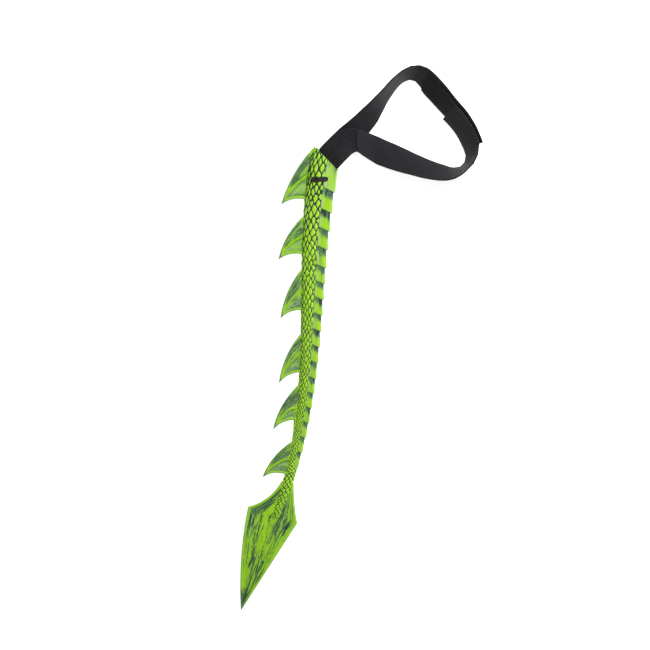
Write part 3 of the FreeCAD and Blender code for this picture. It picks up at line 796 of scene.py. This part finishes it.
def sheet_rings(one, other, rows, columns, height):
    """Rings over both faces of a sheet between two edges, which run from its root to its tip.
    height(u, v, plan) gives half the thickness."""
    a, b = resampled(one, rows), resampled(other, rows)
    across = (1 - np.cos(np.linspace(0, np.pi, columns))) / 2
    across = 0.5 * across + 0.5 * np.linspace(0, 1, columns)
    v = np.broadcast_to(across, (rows, columns))
    u = np.broadcast_to(np.linspace(0, 1, rows)[:, None], (rows, columns))
    plan = a[:, None] * (1 - v[..., None]) + b[:, None] * v[..., None]
    thick, paint = height(u, v, plan)
    top = np.concatenate([plan, thick[..., None]], axis=-1)
    under = top[:, ::-1] * np.array([1, 1, -1])
    outwards = (a - b) / np.maximum(np.linalg.norm(a - b, axis=1, keepdims=True), 1e-6) * 0.15 * MM
    flat = np.zeros((rows, 1))
    first = np.concatenate([a + outwards, flat], axis=1)[:, None]
    last = np.concatenate([b - outwards, flat], axis=1)[:, None]
    rings = np.concatenate([first, top, last, under], axis=1)
    for key, values in paint.items():
        edge = np.full((rows, 1), EDGE_PAINT[key])
        paint[key] = np.concatenate([edge, values, edge, values[:, ::-1]], axis=1)
    return rings, paint


def rounded_edge(distance, reach):
    """0 at an edge, rising as a quarter circle to 1."""
    return np.sqrt(1 - (1 - np.clip(distance / reach, 0, 1)) ** 2)


def fin_surface(number, upper, lower):
    outer = np.vstack([upper[1:], lower[:0:-1]])
    vein = (resampled(upper, 40) * 0.5 + resampled(lower, 40) * 0.5)[4:]

    def height(u, v, plan):
        edge = polyline_distance(plan, outer)
        ridge = polyline_distance(plan, vein)
        streak = cloudy(v * 9, u * 2.6, SALT_FIN_STREAK + number)
        fine = noise(v * 26, u * 4, SALT_FIN_FINE + number)
        rim = hump(edge - 1.1 * MM, 0.8 * MM)
        crest = hump(ridge, 1.3 * MM) * fade(u, 0, 0.15)
        panel = fade(edge, 1.5 * MM, 3.5 * MM) * (1 - crest)
        near_root = fade(u, 0.42, 0.02)
        body = SHEET_HALF * (1 - 0.22 * u) * (0.5 + 0.5 * rounded_edge(edge, 1.7 * MM))
        sunk = (0.75 + 0.45 * streak) * (1 - 0.5 * near_root) - 0.22 * fine
        thick = body + (0.25 * rim + 0.5 * crest - panel * sunk) * MM
        upper_side = fade(v, 0.5, 0.38)
        grain = cloudy(v * 24, u * 9, SALT_FIN_GRAIN + number)
        stain = 0.62 * streak + 0.38 * grain
        toward_edge = fade(v, 0.36, 0.06)
        wash_and_shade = panel * (0.10 + 0.70 * fade(stain, 0.32, 0.62)) * (0.75 + 0.35 * upper_side)
        wash_and_shade = wash_and_shade + toward_edge * fade(u, 0.05, 0.25) * (0.2 + 0.6 * grain)
        # A dark line at the very edge, partly the parting line and partly painted shade.
        wash_and_shade = wash_and_shade * (1 - 0.35 * near_root) + 0.5 * fade(edge, 0.6 * MM, 0.1 * MM)
        wash_and_shade = wash_and_shade + fade(u, 0.76, 0.92) * (0.25 + 0.5 * streak)
        misty = 1 if number < 3 else 0.72
        wash_and_shade = wash_and_shade + (1 - misty) * panel * fade(v, 0.5, 0.7) * stain
        patch = fade(v, 0.54, 0.64) * fade(v, 0.93, 0.81) * fade(u, 0.12, 0.27) * fade(u, 0.9, 0.7)
        # Painted highlight along the lower rim and the crest, over the pale paint patches.
        pale_and_highlight = 0.25 * rim * fade(v, 0.5, 0.8) + (0.1 * crest + misty * patch) * (1.3 - grain)
        pale_and_highlight = pale_and_highlight + 0.5 * upper_side * panel * fade(grain, 0.55, 0.35)
        pale_and_highlight = pale_and_highlight + (1.7 - 1.6 * misty) * panel * streak
        return thick, paint_of(np.minimum(wash_and_shade, 0.85), pale_and_highlight, 0.35 + 0.6 * panel * streak)

    return height


def make_fins():
    for number in range(1, len(FLEXES) + 1):
        upper, lower = fin_edges(f"fin_{number}")
        rows = int(running(upper)[-1] / GRID)
        columns = int(np.linalg.norm(upper[0] - lower[0]) / GRID) + 20
        rings, paint = sheet_rings(upper, lower, rows, columns, fin_surface(number, upper, lower))
        piece = tube(f"back_fin_{number}", rings, SHEET_FOAM, paint)
        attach(piece, LENGTHS[number - 1])
        foam_piece(piece, f"fin_{number}")


def blade_surface(one, other):
    outer = np.vstack([one[1:], other[:0:-1]])

    def height(u, v, plan):
        edge = polyline_distance(plan, outer)
        fan = v + (noise(u * 3, v * 2, SALT_BLADE_FAN) - 0.5) * 0.08
        streak = cloudy(fan * 17, u * 3.6, SALT_BLADE_STREAK)
        fine = cloudy(fan * 46, u * 11, SALT_BLADE_FINE)
        broad = noise(fan * 4.5, u * 2.2, SALT_BLADE_BROAD)
        rim = hump(edge - 1.2 * MM, 0.9 * MM)
        panel = fade(edge, 1.6 * MM, 3.8 * MM)
        body = SHEET_HALF * (1 - 0.15 * u) * (0.5 + 0.5 * rounded_edge(edge, 1.8 * MM))
        ridges = fade(streak, 0.35, 0.7)
        thick = body + (0.2 * rim - panel * (1.1 - 0.9 * ridges - 0.3 * fine)) * MM
        sides = fade(np.abs(v - 0.45), 0.12, 0.42) * fade(u, 0.62, 0.32) * (1 - 0.45 * fade(v, 0.5, 0.7))
        lines = smooth(1 - np.abs(streak - 0.5) / 0.1) + 0.8 * smooth(1 - np.abs(fine - 0.5) / 0.06)
        dark = lines * 0.8 + (broad - 0.42) * 0.7 + sides * 0.35 - 0.2 * fade(v, 0.55, 0.75)
        wash_and_shade = panel * np.clip(dark + (fine - 0.5) * 0.9, 0, 0.9)
        # Darker at the tip, and a dark line at the very edge, partly the parting line and partly painted
        # shade.
        wash_and_shade = wash_and_shade + fade(u, 0.8, 0.92) * (0.8 - 0.5 * v) + 0.5 * fade(edge, 0.6 * MM, 0.1 * MM)
        # Painted highlight along the rim, over pale paint patches at the sides.
        pale_and_highlight = 0.25 * rim + sides * panel * fade(fine, 0.56, 0.36)
        return thick, paint_of(np.minimum(wash_and_shade, 0.9), pale_and_highlight, 0.05 + 0.65 * broad)

    return height


def make_blade():
    loop = outline("tail_blade")
    tip = int(np.argmin(loop[:, 1]))
    top = loop[:, 1].max()

    def necked(point):
        return point[1] > top - 0.4 * MM

    one, other = walk(loop, tip, 1, necked), walk(loop, tip, -1, necked)
    one, other = (one, other) if one[0, 0] < other[0, 0] else (other, one)
    one[0, 0] = left(top) + 2 * MM
    other[0, 0] = left(top) + width(top) - 2 * MM
    rows = int(running(one)[-1] / GRID)
    rings, paint = sheet_rings(one, other, rows, BLADE_COLUMNS, blade_surface(one, other))
    piece = tube("blade", rings, SHEET_FOAM, paint)
    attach(piece, LENGTHS[-1])
    foam_piece(piece, "tail_blade")


make_trunk()
make_plates()
make_fins()
make_blade()


# ---- Belt ----


def refined(entries, steps):
    """More stations on the smooth curve through the given ones."""
    extended = [entries[0], *entries, entries[-1]]
    fine = []
    for a, b, c, d in zip(extended, extended[1:], extended[2:], extended[3:]):
        a, b, c, d = (np.array(e, dtype=float) for e in (a, b, c, d))
        for u in np.arange(steps) / steps:
            bend = (c - a) * u + (2 * a - 5 * b + 4 * c - d) * u**2 + (3 * b - 3 * c + d - a) * u**3
            fine.append(b + bend / 2)
    return np.array([*fine, entries[-1]])


def floor_height(y):
    """Height of the floor above the tail's middle plane, at y up the tail."""
    return -(TAIL @ Vector((0, y, 0))).z / math.cos(TILT)


def stations(entries, steps=10):
    """Middles, directions along the width and directions out of the inner face, in the tail's frame."""
    rows = refined(entries, steps)
    x, y, bearing, lean, low = rows.T
    x, y = x + CAD_SHIFT[0], y + CAD_SHIFT[1]
    bearing, lean = np.radians(bearing), np.radians(lean)
    ground = np.array([floor_height(v * MM) for v in y])
    height = ground + low * MM + STRAP_WIDTH / 2 * np.abs(np.sin(lean))
    middle = np.stack([x * MM, y * MM, height], axis=1)
    cos, sin = np.cos(bearing), np.sin(bearing)
    across = np.stack([cos * np.cos(lean), sin * np.cos(lean), np.sin(lean)], axis=1)
    inward = np.stack([-cos * np.sin(lean), -sin * np.sin(lean), np.cos(lean)], axis=1)
    along = unit(np.gradient(middle, axis=0))
    inward -= along * (inward * along).sum(axis=1, keepdims=True)
    return middle, across, unit(inward)


def from_root(entries, layer):
    """Stations from the tail's slit outwards. The two straps leave it as two flat layers, each this
    far off the tail's middle plane. Before its first station a strap lies straight in the tail."""
    x, y, bearing = BELT_ROOT
    flat = layer - floor_height((y + CAD_SHIFT[1]) * MM)
    if layer < 0:
        bearing += 180
    middle, across, inward = stations([(x, y, bearing, 0, flat / MM), *entries])
    steps = np.linspace(TONGUE, 1 * MM, 12)[:, None]
    first = middle[0] - np.array(OUT_OF_TAIL) * steps
    middle = np.concatenate([first, middle])
    across = np.concatenate([np.repeat(across[:1], len(steps), axis=0), across])
    inward = np.concatenate([np.repeat(inward[:1], len(steps), axis=0), inward])
    return middle, across, inward


def moved(route, distance):
    middle, across, inward = route
    return middle + inward * distance, across, inward


def part_of(route, first, last):
    return tuple(lines[first:last] for lines in route)


def joined(one, other):
    return tuple(np.concatenate(pair) for pair in zip(one, other))


def route_length(route):
    return float(running(route[0])[-1])


def ribbon(name, route, wide, thick, material, slot, salt, start=0.0, sewn=0.0):
    """Closed strap along a route, with thicker selvedges and rounded edges. A patch is sewn to its
    last length."""
    middle, across, inward = route
    side = np.linspace(-1, 1, STRAP_COLUMNS)
    side = np.sign(side) * (1 - (1 - np.abs(side)) ** 1.3)
    edge = np.sqrt(np.clip(1 - np.clip((np.abs(side) - 0.95) / 0.05, 0, 1) ** 2, 0.02, 1))
    selvedge = 1 - 0.14 * fade(np.abs(side), 0.9, 0.84)
    half = thick / 2 * edge * selvedge
    run = start + running(middle)
    wave = (noise(run[:, None] / (14 * MM), side * 1.5, salt) - 0.5) * 0.5 * MM
    crease_light_and_shade = np.zeros_like(wave)
    # The crease: a step, with painted shade on the facet before it and painted light on the facet after
    # it.
    if salt == SALT_LOWER:
        off = run[:, None] - CREASE + side * 4 * MM
        wave = wave - 1.3 * MM * fade(off, -9 * MM, 0) * (off < 0) + 0.4 * MM * hump(off, 1.5 * MM)
        crease_light_and_shade = 0.4 * fade(off, 0, 1.5 * MM) * np.exp(-off / (70 * MM))
        crease_light_and_shade = crease_light_and_shade - 0.4 * fade(off, -26 * MM, 0) * (off < 0)
    narrow = 1 - 0.02 * noise(run / (9 * MM), run * 0, salt + 1)
    plan = middle[:, None] + across[:, None] * (side * wide / 2 * narrow[:, None])[..., None]
    top = plan + inward[:, None] * (half + wave)[..., None]
    under = plan + inward[:, None] * (wave - half)[..., None]
    rings = np.concatenate([top, under[:, ::-1]], axis=1)
    along = np.broadcast_to(run[:, None], (len(run), len(side)))
    place = np.broadcast_to(side * wide / 2, along.shape)
    place = np.concatenate([place, place[:, ::-1]], axis=1)
    uv = np.stack([place, np.concatenate([along, along], axis=1)], axis=-1)
    stitched = np.where(run > run[-1] - sewn, 1.0, 0.0)[:, None]
    paint = {
        "crease_light_and_shade": np.concatenate([crease_light_and_shade, crease_light_and_shade[:, ::-1]], axis=1),
        "sewn": np.broadcast_to(stitched, rings.shape[:2]),
    }
    return tube(name, rings, material, paint, uv=uv)


def stitches(nodes):
    """Share of thread: a row of stitches along each edge of a sewn patch."""
    parts = nodes.add("ShaderNodeSeparateXYZ", Vector=nodes.cloth_place())
    off_row = nodes.math("SUBTRACT", nodes.math("ABSOLUTE", parts.outputs[0]), STITCH_ROW)
    row = nodes.ramp(nodes.math("ABSOLUTE", off_row), 0.45 * MM, 0.25 * MM)
    stitch = nodes.math("SINE", nodes.times(parts.outputs[1], 2 * math.pi / STITCH_LENGTH))
    thread = nodes.times(row, nodes.ramp(stitch, -0.5, 0.0))
    return nodes.times(thread, nodes.attribute("sewn"))


def with_details(nodes, colour):
    """The colour with the stitches on it, and with a few specks of grey lint."""
    colour = nodes.blend(stitches(nodes), colour, THREAD)
    specks = nodes.ramp(nodes.noise(650, 0), 0.76, 0.84)
    rare = nodes.ramp(nodes.noise(30, 1), 0.5, 0.7)
    return nodes.blend(nodes.times(specks, rare), colour, (0.07, 0.07, 0.08, 1))


def webbing_cloth():
    """Woven elastic: lengthwise ribs, crossed by the weave's rows."""
    nodes = Nodes("webbing")
    parts = nodes.add("ShaderNodeSeparateXYZ", Vector=nodes.cloth_place())
    rib = nodes.math("SINE", nodes.times(parts.outputs[0], 2 * math.pi / (1.25 * MM)))
    row = nodes.math("SINE", nodes.times(parts.outputs[1], 2 * math.pi / (0.9 * MM)))
    weave = nodes.plus(nodes.times(rib, 0.5), nodes.times(row, 0.35))
    fluff = nodes.noise(900, 3)
    height = nodes.plus(nodes.times(weave, 0.5), fluff)
    worn = nodes.times(nodes.noise(45, 3), nodes.ramp(height, 0.1, 1.1))
    # Lighter where the weave is worn, plus the painted light and shade of the crease.
    share = nodes.math("ADD", nodes.ramp(worn, 0.05, 0.55), nodes.attribute("crease_light_and_shade"), clamp=True)
    colour = nodes.blend(share, (0.0035, 0.0035, 0.005, 1), (0.018, 0.018, 0.023, 1))
    shade = with_details(nodes, colour)
    nodes.look(Base_Color=shade, Roughness=nodes.plus(nodes.times(fluff, 0.2), 0.68))
    nodes.look(Sheen_Weight=0.08, Sheen_Roughness=0.45, Specular_IOR_Level=0.25)
    nodes.bump(height, 0.55, 0.25 * MM)
    return nodes.material


def hook_cloth():
    """Hook tape: a field of tiny stiff hooks."""
    nodes = Nodes("hook_tape")
    place = nodes.cloth_place()
    cells = nodes.add("ShaderNodeTexVoronoi", Vector=place, Scale=1 / (1.5 * MM), Randomness=0.35)
    tips = nodes.ramp(cells.outputs["Distance"], 0.5, 0.1)
    shade = with_details(nodes, nodes.blend(tips, (0.001, 0.001, 0.0015, 1), (0.005, 0.005, 0.0065, 1)))
    rough = nodes.math("SUBTRACT", 0.62, nodes.times(tips, 0.22))
    nodes.look(Base_Color=shade, Roughness=rough, Specular_IOR_Level=0.16)
    nodes.bump(tips, 0.8, 0.5 * MM)
    return nodes.material


def loop_cloth():
    """Loop tape: a soft brushed nap."""
    nodes = Nodes("loop_tape")
    nap = nodes.noise(1500, 4)
    tufts = nodes.noise(260, 3)
    mix = nodes.plus(nodes.times(nap, 0.6), nodes.times(tufts, 0.4))
    colour = nodes.blend(nodes.ramp(mix, 0.35, 0.68), (0.010, 0.010, 0.012, 1), (0.05, 0.05, 0.056, 1))
    shade = with_details(nodes, colour)
    nodes.look(Base_Color=shade, Roughness=nodes.plus(nodes.times(nap, 0.1), 0.85), Sheen_Weight=0.5)
    nodes.bump(mix, 0.7, 0.4 * MM)
    return nodes.material


def twisted_cord():
    """Twisted cord, whose strands wind round it."""
    nodes = Nodes("tack_cord")
    place = nodes.add("ShaderNodeTexCoord").outputs["Object"]
    wave = nodes.add("ShaderNodeTexWave", {"bands_direction": "DIAGONAL"}, Vector=place, Scale=420.0)
    fuzz = nodes.noise(1600, 3)
    strands = nodes.plus(nodes.times(wave.outputs["Fac"], 0.6), nodes.times(fuzz, 0.4))
    dark, light = (0.0036, 0.00405, 0.0054, 1), (0.008, 0.009, 0.012, 1)
    shade = nodes.blend(nodes.ramp(strands, 0.25, 0.75), dark, light)
    nodes.look(Base_Color=shade, Roughness=nodes.plus(nodes.times(fuzz, 0.2), 0.6))
    nodes.bump(strands, 0.6, 0.3 * MM)
    return nodes.material


def swing_blend(piece):
    """Bakes the strap's placement into its mesh."""
    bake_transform(piece)


def make_belt():
    webbing = webbing_cloth()
    upper = from_root(UPPER_RUN, -STRAP_THICK / 2)
    lower = from_root(LOWER_RUN, STRAP_THICK / 2)
    bend, closure = stations(HOOK_BEND), stations(CLOSURE)
    hook_end = joined(bend, closure)
    hook_offset = (STRAP_THICK + PATCH_THICK) / 2
    loop_offset = hook_offset + PATCH_THICK + PLY_GAP
    closing = tuple(lines[::-1] for lines in closure)
    aside = np.linspace(0.5, 1, len(closing[0]))[:, None] * LOOP_ASIDE
    closing = (closing[0] - closing[1] * aside, *closing[1:])
    loop_end = joined(stations(LOOP_BEND), moved(closing, loop_offset + hook_offset))
    mid_upper, mid_lower = len(upper[0]) // 2, len(lower[0]) // 2
    runs = {
        "upper_webbing": part_of(upper, 0, mid_upper + 1),
        "lower_webbing": part_of(lower, 0, mid_lower + 1),
        "hook_webbing": joined(part_of(upper, mid_upper, -1), hook_end),
        "loop_webbing": joined(part_of(lower, mid_lower, -1), loop_end),
    }
    hooks = moved(part_of(hook_end, len(bend[0]) // 3, None), hook_offset)
    hooks = (hooks[0] - hooks[1] * HOOK_ASIDE, *hooks[1:])
    loops = moved(closing, loop_offset)
    starts = {
        "hook_webbing": route_length(runs["upper_webbing"]),
        "loop_webbing": route_length(runs["lower_webbing"]),
    }
    sewn = {"hook_webbing": route_length(hooks), "loop_webbing": route_length(loops)}
    straps = {}
    for name, route in runs.items():
        salt = SALT_UPPER if name.startswith(("upper", "hook")) else SALT_LOWER
        ends = starts.get(name, 0.0), sewn.get(name, 0.0)
        straps[name] = ribbon(name, route, STRAP_WIDTH, STRAP_THICK, webbing, "webbing", salt, *ends)
    for side in ("upper", "lower"):
        strap = straps[f"{side}_webbing"]
        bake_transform(strap)
        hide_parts(f"{side}_strap", f"{side}_strap_tongue")
    for kind in ("hook", "loop"):
        swing_blend(straps[f"{kind}_webbing"])
        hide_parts(f"{kind}_end")
    patches = (("hook", hooks, hook_cloth(), SALT_HOOKS), ("loop", loops, loop_cloth(), SALT_LOOPS))
    for kind, route, material, salt in patches:
        tape = f"{kind}_tape"
        patch = ribbon(f"{kind}s", route, PATCH_WIDTH, PATCH_THICK, material, tape, salt, sewn=1.0)
        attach(patch, f"belt_{kind}_end")
        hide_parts(f"{kind}_patch")


# ---- Tack ----


def round_cord(name, points, radius, material):
    middle = refined(points, 8)
    along = unit(np.gradient(middle, axis=0))
    side = unit(np.cross(along, [0.05, 0.02, 1.0]))
    up = np.cross(side, along)
    turns = np.linspace(0, 2 * np.pi, 14, endpoint=False)
    run = np.linspace(0, 1, len(middle))
    size = radius * (1 - 0.12 * np.cos(run * 40))
    size[0] = size[-1] = radius * 0.6
    rings = middle[:, None] + size[:, None, None] * (
        side[:, None] * np.cos(turns)[:, None] + up[:, None] * np.sin(turns)[:, None]
    )
    piece = tube(name, rings, material)
    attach(piece, "tail_top")
    return piece


# Points along the tack's cord: x as a share of its reach, y and height over the foam in mm.
TACK_LOOPS = [
    *[(-0.1, 0, 0.3), (0.45, 1.5, 0.3), (0.9, 1.3, -0.2), (0.88, -1.2, -0.2), (0.45, -1.2, 0.3)],
    *[(0, 0.1, 0.9), (-0.45, 1.9, 0.3), (-0.88, 1.3, -0.2), (-0.9, -1.3, -0.2), (-0.45, -1.7, 0.3)],
    (0.1, 0, 0.3),
]
TACK_WRAP = [(-0.06, -2, -0.6), (-0.04, -1.2, 0.8), (0, 0, 1.5), (0.05, 1.2, 0.8), (0.07, 2, -0.6)]
TACK_END = [(0.05, -0.4, 0.9), (0.2, -1.8, 0.6), (0.36, -3.4, 0), (0.42, -5.2, -0.3)]
TACK_PARTS = (("loops", TACK_LOOPS, 1.5), ("wrap", TACK_WRAP, 1.3), ("end", TACK_END, 0.8))


def make_tack():
    """Cord tied through the tail: two loops on each face, a wrap round their middle and short ends."""
    low, high = (TAIL.inverted() @ Vector(corner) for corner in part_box("belt_tack"))
    centre = np.array([(low.x + high.x) / 2, (low.y + high.y) / 2])
    reach = (high.x - low.x) / 2
    cord = twisted_cord()
    for side, label in ((1, "front"), (-1, "rear")):
        top = depth(centre[1]) * side * 0.985

        def spot(x, y, lift):
            if side < 0:
                lift = lift * 0.3 - 1.5
            return (centre[0] + x * reach, centre[1] + y * MM, top + side * lift * MM)

        for name, points, radius in TACK_PARTS:
            route = [spot(*p) for p in points]
            round_cord(f"tack_{name}_{label}", route, radius * MM, cord)
    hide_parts("belt_tack")


make_belt()
make_tack()


# ---- Stage ----


def make_floor():
    grid = bmesh.new()
    bmesh.ops.create_grid(grid, x_segments=40, y_segments=40, size=3)
    mesh = bpy.data.meshes.new("floor")
    grid.to_mesh(mesh)
    grid.free()
    floor = placed("floor", mesh)
    nodes = Nodes("floor")
    nodes.look(Base_Color=(0.85, 0.86, 0.88, 1), Roughness=0.9)
    nodes.look(Emission_Color=(1, 1, 1, 1), Emission_Strength=0.74)
    mesh.materials.append(nodes.material)


def soft_light(name, place, size, power):
    """A square lamp that faces the origin."""
    lamp = bpy.data.lights.new(name, "AREA")
    lamp.size = size
    lamp.energy = power
    light = placed(name, lamp)
    light.location = place
    light.rotation_euler = (-Vector(place)).to_track_quat("-Z", "Y").to_euler()


def make_lights():
    world = bpy.data.worlds.new("studio")
    world.use_nodes = True
    background = world.node_tree.nodes["Background"]
    background.inputs["Color"].default_value = (1, 1, 1, 1)
    background.inputs["Strength"].default_value = 0.33
    bpy.context.scene.world = world
    soft_light("key", (0.7, 0.85, 1.2), 0.35, 27)
    soft_light("fill", (-0.9, -0.5, 1.5), 1.2, 3)


def make_camera():
    lens = bpy.data.cameras.new("camera")
    lens.lens = 236
    lens.sensor_width = 36
    lens.clip_end = 50
    camera = placed("camera", lens)
    camera.location = (-0.0431, 0.0149, 5)
    bpy.context.scene.camera = camera


make_camera()
make_floor()
make_lights()
bpy.context.scene.view_settings.view_transform = "Standard"
